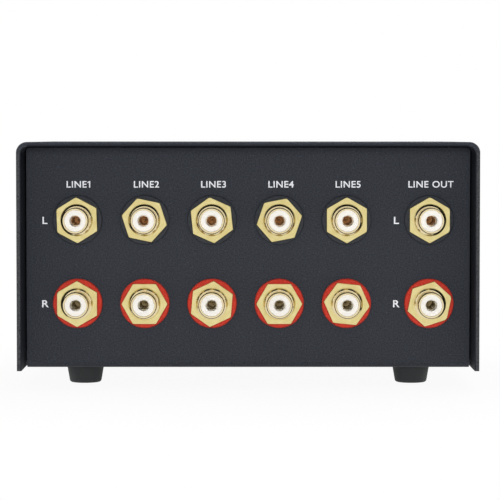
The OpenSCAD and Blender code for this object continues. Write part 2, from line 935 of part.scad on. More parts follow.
module toothed_washer() {
    color("#9c9ea1")
        at_selector()
            linear_extrude(tooth_washer_t)
                difference() {
                    circle(d = tooth_washer_d);
                    circle(d = bushing_d + 2 * screw_hole_gap);
                    for (i = [0 : tooth_count - 1])
                        rotate(i * 360 / tooth_count)
                            translate([tooth_washer_d / 2 - tooth_gap_w, -tooth_gap_w / 2])
                                square(tooth_gap_w + over);
                }
}

module panel_nut() {
    color("#c2c4c7")
        at_selector()
            translate([0, 0, tooth_washer_t])
                difference() {
                    hexagon(panel_nut_af, panel_nut_t);
                    translate([0, 0, -over])
                        cylinder(d = bushing_d + 2 * thread_gap, h = panel_nut_t + 2 * over);
                }
}

// The wall of the switch, notched inside at every step for the detent balls
module switch_housing() {
    color("#1f1f21")
        at_selector()
            translate([0, 0, housing_z])
                linear_extrude(housing_len)
                    difference() {
                        circle(d = switch_d);
                        circle(land_r);
                        for (angle = [0 : step_angle : 359])
                            rotate(angle)
                                translate([land_r + notch_depth - notch_r, 0])
                                    circle(notch_r);
                    }
}

// The rotor grips the shaft's end and holds the balls and their spring in a cross bore
module switch_rotor() {
    color("#d8d3c4")
        at_selector()
            difference() {
                translate([0, 0, rotor_foot_z])
                    cylinder(r = rotor_r, h = rotor_top_z - rotor_foot_z);
                translate([0, 0, shaft_foot_z - push_gap])
                    cylinder(d = shaft_d + 2 * push_gap, h = rotor_seat + over);
                translate([-switch_d / 2, 0, ball_z])
                    rotate([0, 90, 0])
                        cylinder(d = ball_bore_d, h = switch_d);
            }
}

// Two leaves under the rotor, each with an inner and an outer contact button
module wiper_contacts() {
    button_z = housing_z + rivet_head_h + run_gap;
    leaf_len = terminal_reach - common_reach + wiper_w;
    color("#c27a45")
        at_selector()
            for (turn = [0, 180])
                rotate(turn) {
                    translate([-wiper_w / 2, common_reach - wiper_w / 2, rotor_foot_z - wiper_t])
                        cube([wiper_w, leaf_len, wiper_t]);
                    for (y = [common_reach, terminal_reach])
                        translate([0, y, button_z])
                            cylinder(d = button_d, h = rotor_foot_z - wiper_t - button_z);
                }
}

module detent_balls() {
    color("#c6c8cb")
        at_selector()
            for (side = [-1, 1])
                translate([side * ball_reach, 0, ball_z])
                    sphere(d = ball_d);
}

// Points of a ring of a swept wire, square to the way it runs and set out from a fixed direction
function wire_ring(at, way, from, r, sides) =
    let (ahead = way / norm(way),
         level = cross(ahead, from),
         across = level / norm(level),
         up = cross(across, ahead))
    [for (i = [0 : sides - 1])
        at + r * (cos(i * 360 / sides) * across + sin(i * 360 / sides) * up)];

// A closed tube swept along a path, given the way that it runs at each point
module swept_wire(path, ways, from, d, sides) {
    last = len(path) - 1;
    rings = [for (i = [0 : last]) wire_ring(path[i], ways[i], from, d / 2, sides)];
    walls = [
        for (i = [0 : last - 1], s = [0 : sides - 1], half = [0, 1])
            let (a = i * sides + s, b = i * sides + (s + 1) % sides)
            half == 0 ? [a, a + sides, b] : [b, a + sides, b + sides]
    ];
    first_cap = [for (s = [1 : sides - 2]) [0, s, s + 1]];
    last_cap = [for (s = [1 : sides - 2]) [last * sides, last * sides + s + 1, last * sides + s]];
    polyhedron([for (r = rings) each r], concat(walls, first_cap, last_cap));
}

// A compression spring between the two balls
module detent_spring() {
    steps = 8;
    span = ball_reach - ball_d / 2 - spring_wire_d / 2 - push_gap;
    coil_r = (ball_bore_d - spring_wire_d) / 2 - push_gap * 3;
    count = spring_turns * steps;
    path = [
        for (i = [0 : count])
            [span * (2 * i / count - 1), coil_r * sin(i * 360 / steps), coil_r * cos(i * 360 / steps)]
    ];
    rise = 2 * span / count;
    arc = 2 * PI * coil_r / steps;
    ways = [
        for (i = [0 : count])
            [rise, arc * cos(i * 360 / steps), -arc * sin(i * 360 / steps)]
    ];
    color("#8f9194")
        at_selector()
            translate([0, 0, ball_z])
                swept_wire(path, ways, [1, 0, 0], spring_wire_d, 6);
}

module terminal_base() {
    color("#6b4a2f")
        at_selector()
            difference() {
                translate([0, 0, base_z])
                    cylinder(d = switch_d, h = base_t);
                for (row = [LEFT, RIGHT], col = [0 : OUT])
                    translate([terminal_xy(row, col)[0], terminal_xy(row, col)[1], base_z - over])
                        cylinder(d = rivet_d + 2 * push_gap, h = base_t + 2 * over);
            }
}

// A terminal: rivet head inside the switch, shank through the base, tag behind it
module terminal() {
    translate([0, 0, base_z])
        cylinder(d = rivet_d, h = base_t);
    translate([0, 0, housing_z])
        cylinder(r = rivet_head_r, h = rivet_head_h);
    difference() {
        translate([-tag_w / 2, -tag_t / 2, tag_z])
            cube([tag_w, tag_t, tag_len]);
        translate([0, tag_t, tag_z + tag_len / 2])
            rotate([90, 0, 0])
                cylinder(d = tag_w / 2, h = 2 * tag_t);
    }
}

module switch_terminals() {
    color("#c9c6bd")
        at_selector()
            for (row = [LEFT, RIGHT], col = [0 : OUT])
                translate([terminal_xy(row, col)[0], terminal_xy(row, col)[1], 0])
                    terminal();
}

// Wiring
// A wire runs straight out of its socket tail, through a middle point, and straight into its terminal
tail_y = rear_y - tail_z + solder_gap;
tag_y = front_y + tag_z - solder_gap;
mid_y = (tail_y + tag_y) / 2;
function terminal_place(row, col) =
    [-terminal_xy(row, col)[0], tag_y, tray_z + selector_z + terminal_xy(row, col)[1]];
function tail_place(row, col) = [socket_x(col), tail_y, socket_z(row)];

// Half way, the wires of a channel lie one above another in a flat loom, the output nearest the axis
loom_order = [2, 4, 5, 3, 1, 0];
function middle_place(row, col) =
    let (layer_z = common_reach - wire_d + loom_order[col] * wire_layer)
    [0, mid_y, tray_z + selector_z + (row == LEFT ? 1 : -1) * layer_z];

// An S-shaped run between two points that leaves and arrives along the depth
function eased(a, b, t) =
    let (s = t * t * (3 - 2 * t))
    [a[0] + (b[0] - a[0]) * s, a[1] + (b[1] - a[1]) * t, a[2] + (b[2] - a[2]) * s];
function eased_way(a, b, t) =
    let (v = 6 * t * (1 - t))
    [(b[0] - a[0]) * v, b[1] - a[1], (b[2] - a[2]) * v];

module wires(row) {
    steps = 9;
    for (col = [0 : OUT]) {
        a = tail_place(row, col);
        b = middle_place(row, col);
        c = terminal_place(row, col);
        path = concat(
            [for (i = [0 : steps - 1]) eased(a, b, i / steps)],
            [for (i = [0 : steps]) eased(b, c, i / steps)]
        );
        ways = concat(
            [for (i = [0 : steps - 1]) eased_way(a, b, i / steps)],
            [for (i = [0 : steps]) eased_way(b, c, i / steps)]
        );
        swept_wire(path, ways, [0, 0, 1], wire_d, 8);
    }
}

module left_wires() {
    color("#dcdad2")
        wires(LEFT);
}

module right_wires() {
    color("#a83226")
        wires(RIGHT);
}

// A bare wire soldered across the lugs of each row, with a link between the rows
module earth_bus() {
    bus_y = rear_y - lug_z + bus_d / 2 + solder_gap;
    low_z = socket_z(RIGHT) + lug_reach;
    high_z = socket_z(LEFT) - lug_reach;
    end_x = socket_x(OUT) + lug_tab_w;
    color("#b98a5a") {
        for (z = [low_z, high_z])
            translate([first_x - lug_tab_w, bus_y, z])
                rotate([0, 90, 0])
                    cylinder(d = bus_d, h = end_x - first_x + lug_tab_w + bus_d / 2);
        translate([end_x, bus_y, low_z])
            cylinder(d = bus_d, h = high_z - low_z);
    }
}

chassis_tray();
top_cover();
cover_screws();
foot(-1, 0);  // foot_rear_left
foot(1, 0);  // foot_rear_right
foot(-1, 1);  // foot_front_left
foot(1, 1);  // foot_front_right
foot_screws();
foot_nuts();
black_washers();
red_washers();
inner_washers();
solder_lugs();
socket_nuts();
contacts(LEFT);  // left_contacts
contacts(RIGHT);  // right_contacts
selector_knob();
knob_pointer();
knob_set_screw();
selector_shaft();
retaining_ring();
switch_bushing();
toothed_washer();
panel_nut();
switch_housing();
switch_rotor();
wiper_contacts();
detent_balls();
detent_spring();
terminal_base();
switch_terminals();
left_wires();
right_wires();
earth_bus();
for (row = [LEFT, RIGHT], col = [0 : OUT]) {
    socket_shell(row, col);
    socket_insulator(row, col);
}
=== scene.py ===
import json
import math

import bmesh
import bpy
from mathutils import Euler, Matrix, Vector

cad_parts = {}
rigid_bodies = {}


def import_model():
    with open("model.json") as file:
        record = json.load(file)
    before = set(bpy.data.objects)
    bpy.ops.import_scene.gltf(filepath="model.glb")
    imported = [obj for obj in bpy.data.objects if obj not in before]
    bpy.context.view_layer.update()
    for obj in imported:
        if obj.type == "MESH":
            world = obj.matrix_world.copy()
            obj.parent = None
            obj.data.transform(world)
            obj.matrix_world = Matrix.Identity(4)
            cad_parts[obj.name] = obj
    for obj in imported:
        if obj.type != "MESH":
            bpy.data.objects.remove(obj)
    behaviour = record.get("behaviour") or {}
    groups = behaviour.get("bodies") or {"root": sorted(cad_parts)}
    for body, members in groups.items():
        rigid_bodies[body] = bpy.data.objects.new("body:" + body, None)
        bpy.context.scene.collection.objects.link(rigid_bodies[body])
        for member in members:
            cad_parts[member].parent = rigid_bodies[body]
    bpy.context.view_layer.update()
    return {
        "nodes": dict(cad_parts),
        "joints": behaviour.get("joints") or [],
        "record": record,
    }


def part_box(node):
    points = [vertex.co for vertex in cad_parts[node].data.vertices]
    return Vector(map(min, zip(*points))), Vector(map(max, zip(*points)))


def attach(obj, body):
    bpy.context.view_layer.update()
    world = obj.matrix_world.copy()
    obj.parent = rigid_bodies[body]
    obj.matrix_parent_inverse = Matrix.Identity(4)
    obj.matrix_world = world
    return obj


for leftover in list(bpy.data.objects):
    bpy.data.objects.remove(leftover)
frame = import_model()
nodes = frame["nodes"]
mm = 0.001
print("frame loaded:", len(nodes), "pieces")

# Places that everything else is set out from
trayLow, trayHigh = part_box("chassis_tray")
coverLow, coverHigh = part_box("top_cover")
rearFace = trayLow.y
frontFace = trayHigh.y
ports = ["1", "2", "3", "4", "5", "out"]
rows = ["left", "right"]
selectorAxis = Vector(frame["joints"][0]["pos_m"])


def middle(node):
    low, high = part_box(node)
    return (low + high) / 2


columns = [middle(f"socket_insulator_left_{port}").x for port in ports]
rowHeights = [middle(f"socket_insulator_{row}_1").z for row in rows]


# Node trees

def hexColor(code):
    parts = [int(code[i:i + 2], 16) / 255 for i in (1, 3, 5)]
    linear = [c / 12.92 if c <= 0.04045 else ((c + 0.055) / 1.055) ** 2.4 for c in parts]
    return (*linear, 1.0)


def addNode(tree, kind, inputs=None, **settings):
    node = tree.nodes.new("ShaderNode" + kind)
    for name, value in settings.items():
        setattr(node, name, value)
    for socket, value in (inputs or {}).items():
        if isinstance(value, bpy.types.NodeSocket):
            tree.links.new(value, node.inputs[socket])
        else:
            node.inputs[socket].default_value = value
    return node


def newTree(name):
    material = bpy.data.materials.new(name)
    material.use_nodes = True
    material.node_tree.nodes.clear()
    return material, material.node_tree


def finishTree(tree, inputs):
    shader = addNode(tree, "BsdfPrincipled", inputs)
    addNode(tree, "OutputMaterial", {"Surface": shader.outputs[0]})


def perSize(millimetres):
    return 1 / (millimetres * mm)  # texture scale for features of this size


noiseLow, noiseHigh = 0.3, 0.7  # nearly all values of a noise texture lie between these

# Case

powderCoat = {
    # The fifth and darkest colour is painted shade for the hood's inner faces
    # The fourth colour is partly wear and partly a painted highlight on the cover's cut edges
    "dark": "#26282d", "pale": "#3a3d44", "speck": "#474a52", "wearAndHighlight": "#474848", "inside": "#16191f",
    "grain": 0.42, "peel": 2.2, "depth": 0.035, "bump": 0.7,  # sizes in mm, and how strongly they show
    "speckGap": 1.8, "speckSize": 0.12, "speckCore": 0.04,  # gap in mm, the others as shares of it
    "roughLow": 0.48, "roughHigh": 0.68, "specular": 0.14,
    "edge": 0.5, "bend": 2.0, "skin": 1.1,  # mm from an edge, down from the top, in from a side
    "lipTop": 0.5, "lipFoot": 1.2, "corner": 3.4,  # mm down the hood's lip, and how far a bend reaches
}


def makePowderCoat():
    # Fine texture polyester powder, sprayed on steel and baked: a leathery grain, a soft sheen and
    # a few pale specks. The real grain is near 0.2 mm and is drawn twice as coarse so that it shows
    look = powderCoat
    material, tree = newTree("blackPowderCoat")
    place = addNode(tree, "TexCoord").outputs["Object"]
    grain = addNode(tree, "TexNoise", {"Vector": place, "Scale": perSize(look["grain"]), "Detail": 2.0})
    peel = addNode(tree, "TexNoise", {"Vector": place, "Scale": perSize(look["peel"]), "Detail": 2.0})
    speck = addNode(tree, "TexVoronoi", {"Vector": place, "Scale": perSize(look["speckGap"])})
    near = addNode(tree, "MapRange", {0: speck.outputs["Distance"], 1: look["speckSize"],
                                      2: look["speckCore"]})
    shade = addNode(tree, "MapRange", {0: grain.outputs[0], 1: noiseLow, 2: noiseHigh})
    coat = addNode(tree, "Mix", {0: shade.outputs[0], 6: hexColor(look["dark"]),
                                 7: hexColor(look["pale"])}, data_type="RGBA")
    flecked = addNode(tree, "Mix", {0: near.outputs[0], 6: coat.outputs[2],
                                    7: hexColor(look["speck"])}, data_type="RGBA")
    # The cut edges of the cover's sides are paler: partly a thinner coat rubbed at the edge, partly a
    # painted highlight where the rounded edge catches light
    xyz = addNode(tree, "SeparateXYZ", {0: place})
    rearEdge = addNode(tree, "MapRange", {0: xyz.outputs[1], 1: coverLow.y + look["edge"] * mm,
                                          2: coverLow.y})
    frontEdge = addNode(tree, "MapRange", {0: xyz.outputs[1], 1: coverHigh.y - look["edge"] * mm,
                                           2: coverHigh.y})
    side = addNode(tree, "MapRange", {0: xyz.outputs[2], 1: coverHigh.z - look["bend"] * mm,
                                      2: coverHigh.z - 2 * look["bend"] * mm})
    edge = addNode(tree, "Math", {0: rearEdge.outputs[0], 1: frontEdge.outputs[0]}, operation="MAXIMUM")
    wearAndHighlight = addNode(tree, "Math", {0: edge.outputs[0], 1: side.outputs[0]}, operation="MULTIPLY")
    patchy = addNode(tree, "Math", {0: wearAndHighlight.outputs[0], 1: shade.outputs[0]}, operation="MULTIPLY")
    outer = addNode(tree, "Mix", {0: patchy.outputs[0], 6: flecked.outputs[2],
                                  7: hexColor(look["wearAndHighlight"])}, data_type="RGBA")
    # Painted shade: the hood's inner wall faces, the underside of its top and the lower part of the top's
    # cut edge are darkened in colour, where shade falls
    sideways = addNode(tree, "Math", {0: xyz.outputs[0]}, operation="ABSOLUTE")
    inWall = addNode(tree, "Math", {0: sideways.outputs[0], 1: coverHigh.x - look["skin"] * mm},
                     operation="LESS_THAN")
    walls = addNode(tree, "Math", {0: inWall.outputs[0], 1: side.outputs[0]}, operation="MULTIPLY")
    lip = addNode(tree, "MapRange", {0: xyz.outputs[2], 1: coverHigh.z - look["lipTop"] * mm,
                                     2: coverHigh.z - look["lipFoot"] * mm})
    clear = addNode(tree, "Math", {0: sideways.outputs[0], 1: coverHigh.x - look["corner"] * mm},
                    operation="LESS_THAN")
    top = addNode(tree, "Math", {0: lip.outputs[0], 1: clear.outputs[0]}, operation="MULTIPLY")
    inside = addNode(tree, "Math", {0: walls.outputs[0], 1: top.outputs[0]}, operation="MAXIMUM")
    inHood = addNode(tree, "Math", {0: xyz.outputs[1], 1: rearFace - look["edge"] * mm},
                     operation="LESS_THAN")
    paintedHoodShade = addNode(tree, "Math", {0: inside.outputs[0], 1: inHood.outputs[0]}, operation="MULTIPLY")
    color = addNode(tree, "Mix", {0: paintedHoodShade.outputs[0], 6: outer.outputs[2],
                                  7: hexColor(look["inside"])}, data_type="RGBA")
    height = addNode(tree, "Math", {0: grain.outputs[0], 1: peel.outputs[0]}, operation="ADD")
    bump = addNode(tree, "Bump", {"Height": height.outputs[0], "Strength": look["bump"],
                                  "Distance": look["depth"] * mm})
    rough = addNode(tree, "MapRange", {0: grain.outputs[0], 3: look["roughLow"], 4: look["roughHigh"]})
    finishTree(tree, {"Base Color": color.outputs[2], "Roughness": rough.outputs[0],
                      "Normal": bump.outputs[0], "Specular IOR Level": look["specular"]})
    return material


# Sockets

def socketOffsets(tree, place):
    # How far a point lies from the axis of the nearest socket, sideways and up
    xyz = addNode(tree, "SeparateXYZ", {0: place})
    pitch = columns[1] - columns[0]
    rowPitch = rowHeights[0] - rowHeights[1]
    lastInput, output = columns[-2:]
    fromFirst = addNode(tree, "Math", {0: xyz.outputs[0], 1: columns[0]}, operation="SUBTRACT")
    fromInput = addNode(tree, "Math", {0: fromFirst.outputs[0], 1: pitch / 2, 2: -pitch / 2},
                        operation="WRAP")
    fromOutput = addNode(tree, "Math", {0: xyz.outputs[0], 1: output}, operation="SUBTRACT")
    isOutput = addNode(tree, "Math", {0: xyz.outputs[0], 1: (lastInput + output) / 2},
                       operation="GREATER_THAN")
    across = addNode(tree, "Mix", {0: isOutput.outputs[0], 2: fromInput.outputs[0],
                                   3: fromOutput.outputs[0]})
    fromLower = addNode(tree, "Math", {0: xyz.outputs[2], 1: rowHeights[1]}, operation="SUBTRACT")
    up = addNode(tree, "Math", {0: fromLower.outputs[0], 1: rowPitch / 2, 2: -rowPitch / 2},
                 operation="WRAP")
    return across.outputs[0], up.outputs[0]


turning = {"sweep": 0.5}  # how much the marks change on the way round


def turnedMarks(tree, across, up, width):
    # Noise drawn out round an axis, as a lathe tool leaves it, and the distance from the axis
    flat = addNode(tree, "CombineXYZ", {0: across, 1: up})
    reach = addNode(tree, "VectorMath", {0: flat.outputs[0]}, operation="LENGTH").outputs["Value"]
    heading = addNode(tree, "VectorMath", {0: flat.outputs[0]}, operation="NORMALIZE")
    ring = addNode(tree, "Math", {0: reach, 1: perSize(width)}, operation="MULTIPLY")
    outwards = addNode(tree, "CombineXYZ", {2: ring.outputs[0]})
    track = addNode(tree, "VectorMath", {0: heading.outputs[0], 1: [turning["sweep"]] * 3,
                                         2: outwards.outputs[0]}, operation="MULTIPLY_ADD")
    marks = addNode(tree, "TexNoise", {"Vector": track.outputs[0], "Scale": 1.0, "Detail": 2.0})
    return marks.outputs[0], reach


goldFlash = {
    "face": "#f1e4a9", "deep": "#dbca88", "barrel": "#e8d8ae",
    "markWidth": 0.22, "patch": 3.0, "depth": 0.004, "bump": 0.5,  # sizes in mm
    "wearLow": 0.12, "wearHigh": 0.45,
    "barrelRough": 0.12, "faceRough": 0.32, "smoother": 0.8, "rougher": 1.2,
    "barrelReach": 4.6, "faceReach": 5.06,  # mm from the axis, where the barrel ends and the face starts
}


def makeGoldFlash():
    # Brass turned on a lathe and flashed with gold: pale yellow mirror barrels and softer faces with
    # turning marks. The real marks are near 0.05 mm and are drawn at 0.22 mm so that they show
    look = goldFlash
    material, tree = newTree("goldFlashedBrass")
    place = addNode(tree, "TexCoord").outputs["Object"]
    across, up = socketOffsets(tree, place)
    marks, reach = turnedMarks(tree, across, up, look["markWidth"])
    patch = addNode(tree, "TexNoise", {"Vector": place, "Scale": perSize(look["patch"]), "Detail": 3.0})
    wear = addNode(tree, "Math", {0: marks, 1: patch.outputs[0]}, operation="MULTIPLY")
    tone = addNode(tree, "MapRange", {0: wear.outputs[0], 1: look["wearLow"], 2: look["wearHigh"]})
    plate = addNode(tree, "Mix", {0: tone.outputs[0], 6: hexColor(look["deep"]),
                                  7: hexColor(look["face"])}, data_type="RGBA")
    outside = addNode(tree, "MapRange", {0: reach, 1: look["barrelReach"] * mm, 2: look["faceReach"] * mm})
    color = addNode(tree, "Mix", {0: outside.outputs[0], 6: hexColor(look["barrel"]),
                                  7: plate.outputs[2]}, data_type="RGBA")
    base = addNode(tree, "MapRange", {0: outside.outputs[0], 3: look["barrelRough"], 4: look["faceRough"]})
    spread = addNode(tree, "MapRange", {0: marks, 3: look["smoother"], 4: look["rougher"]})
    rough = addNode(tree, "Math", {0: base.outputs[0], 1: spread.outputs[0]}, operation="MULTIPLY")
    bump = addNode(tree, "Bump", {"Height": marks, "Strength": look["bump"],
                                  "Distance": look["depth"] * mm})
    finishTree(tree, {"Base Color": color.outputs[2], "Roughness": rough.outputs[0],
                      "Normal": bump.outputs[0], "Metallic": 1.0})
    return material


nylon = {
    "shadow": "#e5e1d9", "color": "#f1eee8", "markWidth": 0.3, "depth": 0.01, "bump": 0.5,  # sizes in mm
    "roughLow": 0.36, "roughHigh": 0.48, "glow": 0.08, "glowReach": (0.6, 0.5, 0.4),  # reach in mm
}


def makeNylon():
    # White nylon, turned: a waxy satin with faint rings round the hole
    look = nylon
    material, tree = newTree("turnedNylon")
    across, up = socketOffsets(tree, addNode(tree, "TexCoord").outputs["Object"])
    marks = turnedMarks(tree, across, up, look["markWidth"])[0]
    color = addNode(tree, "Mix", {0: marks, 6: hexColor(look["shadow"]), 7: hexColor(look["color"])},
                    data_type="RGBA")
    rough = addNode(tree, "MapRange", {0: marks, 3: look["roughLow"], 4: look["roughHigh"]})
    bump = addNode(tree, "Bump", {"Height": marks, "Strength": look["bump"],
                                  "Distance": look["depth"] * mm})
    finishTree(tree, {"Base Color": color.outputs[2], "Roughness": rough.outputs[0],
                      "Normal": bump.outputs[0], "Subsurface Weight": look["glow"],
                      "Subsurface Radius": [reach * mm for reach in look["glowReach"]]})
    return material


# Knob

anodise = {
    "dark": "#19191a", "pale": "#333337", "markWidth": 0.3, "depth": 0.025, "bump": 0.6,  # sizes in mm
    "roughLow": 0.22, "roughHigh": 0.42, "metallic": 0.6,
}


def makeAnodise():
    # Turned aluminium, dyed black and anodised: a dark metal sheen that sweeps round the face.
    # The real marks are near 0.1 mm and are drawn at 0.3 mm so that they show
    look = anodise
    material, tree = newTree("blackAnodisedAluminium")
    xyz = addNode(tree, "SeparateXYZ", {0: addNode(tree, "TexCoord").outputs["Object"]})
    across = addNode(tree, "Math", {0: xyz.outputs[0], 1: selectorAxis.x}, operation="SUBTRACT")
    up = addNode(tree, "Math", {0: xyz.outputs[2], 1: selectorAxis.z}, operation="SUBTRACT")
    marks = turnedMarks(tree, across.outputs[0], up.outputs[0], look["markWidth"])[0]
    color = addNode(tree, "Mix", {0: marks, 6: hexColor(look["dark"]), 7: hexColor(look["pale"])},
                    data_type="RGBA")
    rough = addNode(tree, "MapRange", {0: marks, 3: look["roughLow"], 4: look["roughHigh"]})
    bump = addNode(tree, "Bump", {"Height": marks, "Strength": look["bump"],
                                  "Distance": look["depth"] * mm})
    finishTree(tree, {"Base Color": color.outputs[2], "Roughness": rough.outputs[0],
                      "Normal": bump.outputs[0], "Metallic": look["metallic"]})
    return material


# Plain finishes, by material slot: two tones, the size of the grain between them and its depth in mm.
# A finish under a node's own name is for that node alone
finishes = {
    # Steel dipped to a black oxide: nearly black, with a dull metal glint
    "screw_black": {"name": "blackOxideSteel", "tones": ("#1a1a1c", "#2b2b2d"), "grain": 0.4,
                    "depth": 0.01, "roughness": 0.38, "metallic": 0.7},
    # Rubber from an eroded mould: matt and even, with a faint grain
    "foot_rubber": {"name": "mouldedRubber", "tones": ("#1f2122", "#2a2c2d"), "grain": 0.5,
                    "depth": 0.02, "roughness": 0.72, "metallic": 0.0},
    # Steel with bright zinc: a cool, cloudy shine
    "zinc_steel": {"name": "brightZincPlate", "tones": ("#a9adb2", "#cfd1d3"), "grain": 0.9,
                   "depth": 0.004, "roughness": 0.3, "metallic": 1.0},
    # Fibre board pressed and dyed black: matt, close to the coat beside it
    "black_fibre": {"name": "blackPressedFibre", "tones": ("#2c2e33", "#393c42"), "grain": 0.5,
                    "depth": 0.015, "roughness": 0.6, "metallic": 0.0, "specular": 0.2},
    # Fibre board pressed and dyed red: a full red with a slight satin
    "red_fibre": {"name": "redPressedFibre", "tones": ("#ad3026", "#c74032"), "grain": 0.6,
                  "depth": 0.012, "roughness": 0.45, "metallic": 0.0, "specular": 0.15},
    # Stamped brass with bright tin: pale and a little warm
    "tinned_brass": {"name": "brightTinPlate", "tones": ("#c4c0b6", "#dedad0"), "grain": 0.7,
                     "depth": 0.004, "roughness": 0.32, "metallic": 1.0},
    # Drilled brass: a brown glow deep in the hole
    "contact_brass": {"name": "dullDrilledBrass", "tones": ("#d5b999", "#eed3b4"), "grain": 0.3,
                      "depth": 0.004, "roughness": 0.22, "metallic": 1.0},
    # Drilled brass with a wash of tin: greyer in the hole
    "right_contacts": {"name": "tinWashedBrass", "tones": ("#c9bda4", "#e1d8c1"), "grain": 0.3,
                       "depth": 0.004, "roughness": 0.22, "metallic": 1.0},
    # Enamel run into a groove and rubbed flat: a clean white line
    "pointer_white": {"name": "whiteEnamelInlay", "tones": ("#dfdfda", "#eeeeea"), "grain": 0.5,
                      "depth": 0.005, "roughness": 0.35, "metallic": 0.0},
    # Hard steel with a black oxide: a shade paler than the case screws
    "screw_steel": {"name": "oxideSetScrewSteel", "tones": ("#242426", "#38383a"), "grain": 0.3,
                    "depth": 0.006, "roughness": 0.4, "metallic": 0.8},
    # Aluminium rod, drawn and cut: a soft grey shine
    "shaft_metal": {"name": "drawnAluminium", "tones": ("#b4b2ac", "#cfcdc7"), "grain": 0.5,
                    "depth": 0.005, "roughness": 0.35, "metallic": 1.0},
    # Black nylon, moulded: dark satin
    "switch_plastic": {"name": "blackMouldedNylon", "tones": ("#1b1b1d", "#272729"), "grain": 0.4,
                       "depth": 0.012, "roughness": 0.5, "metallic": 0.0},
    # Natural acetal, moulded: milky and smooth
    "rotor_plastic": {"name": "mouldedAcetal", "tones": ("#d2ccbd", "#e0dacc"), "grain": 0.6,
                      "depth": 0.008, "roughness": 0.42, "metallic": 0.0},
    # Phosphor bronze, rolled to strip: a warm bright spring
    "wiper_copper": {"name": "phosphorBronze", "tones": ("#b67a48", "#d09762"), "grain": 0.4,
                     "depth": 0.004, "roughness": 0.3, "metallic": 1.0},
    # Phenolic laminate, pressed: brown and slightly mottled
    "base_phenolic": {"name": "phenolicLaminate", "tones": ("#5c3f28", "#735034"), "grain": 0.8,
                      "depth": 0.01, "roughness": 0.5, "metallic": 0.0},
    # PVC sleeve, drawn over the wire: smooth with a soft gloss
    "wire_white": {"name": "whitePvcSleeve", "tones": ("#d3d0c8", "#e1ded7"), "grain": 0.8,
                   "depth": 0.01, "roughness": 0.4, "metallic": 0.0},
    "wire_red": {"name": "redPvcSleeve", "tones": ("#97291d", "#b03a2b"), "grain": 0.8,
                 "depth": 0.01, "roughness": 0.4, "metallic": 0.0},
    # Ink pressed through a screen: flat white with a trace of the coat's grain
    "ink": {"name": "whiteScreenInk", "tones": ("#dcdde3", "#eceef4"), "grain": 0.35,
            "depth": 0.01, "roughness": 0.5, "metallic": 0.0},
}
plainLook = {"bump": 0.5, "smoother": 0.85, "rougher": 1.15, "specular": 0.5}


def makeFinish(look):
    material, tree = newTree(look["name"])
    place = addNode(tree, "TexCoord").outputs["Object"]
    grain = addNode(tree, "TexNoise", {"Vector": place, "Scale": perSize(look["grain"]), "Detail": 3.0})
    tone = addNode(tree, "MapRange", {0: grain.outputs[0], 1: noiseLow, 2: noiseHigh})
    dark, pale = look["tones"]
    color = addNode(tree, "Mix", {0: tone.outputs[0], 6: hexColor(dark), 7: hexColor(pale)},
                    data_type="RGBA")
    rough = addNode(tree, "MapRange", {0: grain.outputs[0], 3: look["roughness"] * plainLook["smoother"],
                                       4: look["roughness"] * plainLook["rougher"]})
    bump = addNode(tree, "Bump", {"Height": grain.outputs[0], "Strength": plainLook["bump"],
                                  "Distance": look["depth"] * mm})
    finishTree(tree, {"Base Color": color.outputs[2], "Roughness": rough.outputs[0],
                      "Normal": bump.outputs[0], "Metallic": look["metallic"],
                      "Specular IOR Level": look.get("specular", plainLook["specular"])})
    return material


materials = {name: makeFinish(look) for name, look in finishes.items()}
materials["case_paint"] = makePowderCoat()
materials["gold_plate"] = makeGoldFlash()
materials["insulator_white"] = makeNylon()
materials["knob_black"] = makeAnodise()
for part in frame["record"]["subparts"]:
    mesh = nodes[part["node"]].data
    mesh.materials.clear()
    mesh.materials.append(materials.get(part["node"], materials[part["material_slot"]]))
print("materials:", len(materials))

# Softened edges, width in mm: coat flows round sheet edges, and machined edges are broken
softEdges = {"top_cover": 0.55, "chassis_tray": 0.3, "black_washers": 0.25, "red_washers": 0.25,
             "cover_screws": 0.12, "selector_knob": 0.15, "knob_pointer": 0.1}
softening = {"shell": 0.26, "insulator": 0.06, "weld": 0.001, "steps": 3, "sharpAngle": 35, "flatAngle": 0.3,
             "spareArea": 1.0001}
for row in rows:
    for port in ports:
        softEdges[f"socket_shell_{row}_{port}"] = softening["shell"]
        softEdges[f"socket_insulator_{row}_{port}"] = softening["insulator"]


def closesHole(piece):
    # A narrow ring joined into one face can be drawn right across its hole, with more area than the face has
    shaped = piece.evaluated_get(bpy.context.evaluated_depsgraph_get())
    mesh = shaped.to_mesh()
    mesh.calc_loop_triangles()
    drawn = sum(triangle.area for triangle in mesh.loop_triangles)
    closed = drawn > softening["spareArea"] * sum(face.area for face in mesh.polygons)
    shaped.to_mesh_clear()
    return closed


for node, width in softEdges.items():
    piece = nodes[node]
    weld = piece.modifiers.new("weld", "WELD")
    weld.merge_threshold = softening["weld"] * mm
    join = piece.modifiers.new("flatten", "DECIMATE")
    join.decimate_type = "DISSOLVE"
    join.angle_limit = math.radians(softening["flatAngle"])
    soften = piece.modifiers.new("soften", "BEVEL")
    soften.width = width * mm
    soften.segments = softening["steps"]
    soften.limit_method = "ANGLE"
    soften.angle_limit = math.radians(softening["sharpAngle"])
    soften.use_clamp_overlap = True
    even = piece.modifiers.new("even", "WEIGHTED_NORMAL")
    even.keep_sharp = False
    if closesHole(piece):
        piece.modifiers.remove(join)
        print("flat faces left apart:", node)
print("softened edges:", len(softEdges))

# Lettering, in mm. A font size is worked out from the height of its capitals
ink = {
    "thick": 0.04, "bold": 0.015, "spacing": 1.08, "widen": 1.05,
    "cap": 2.15, "rise": 11.2, "labelShift": 0.5,
    "sideCap": 2.35, "sideWiden": 1.15, "sideShift": -10.5, "sideDrop": 0.3,
}
font = {"capShare": 0.73, "weld": 0.0001}  # capitals over the font's size, and points to join in mm
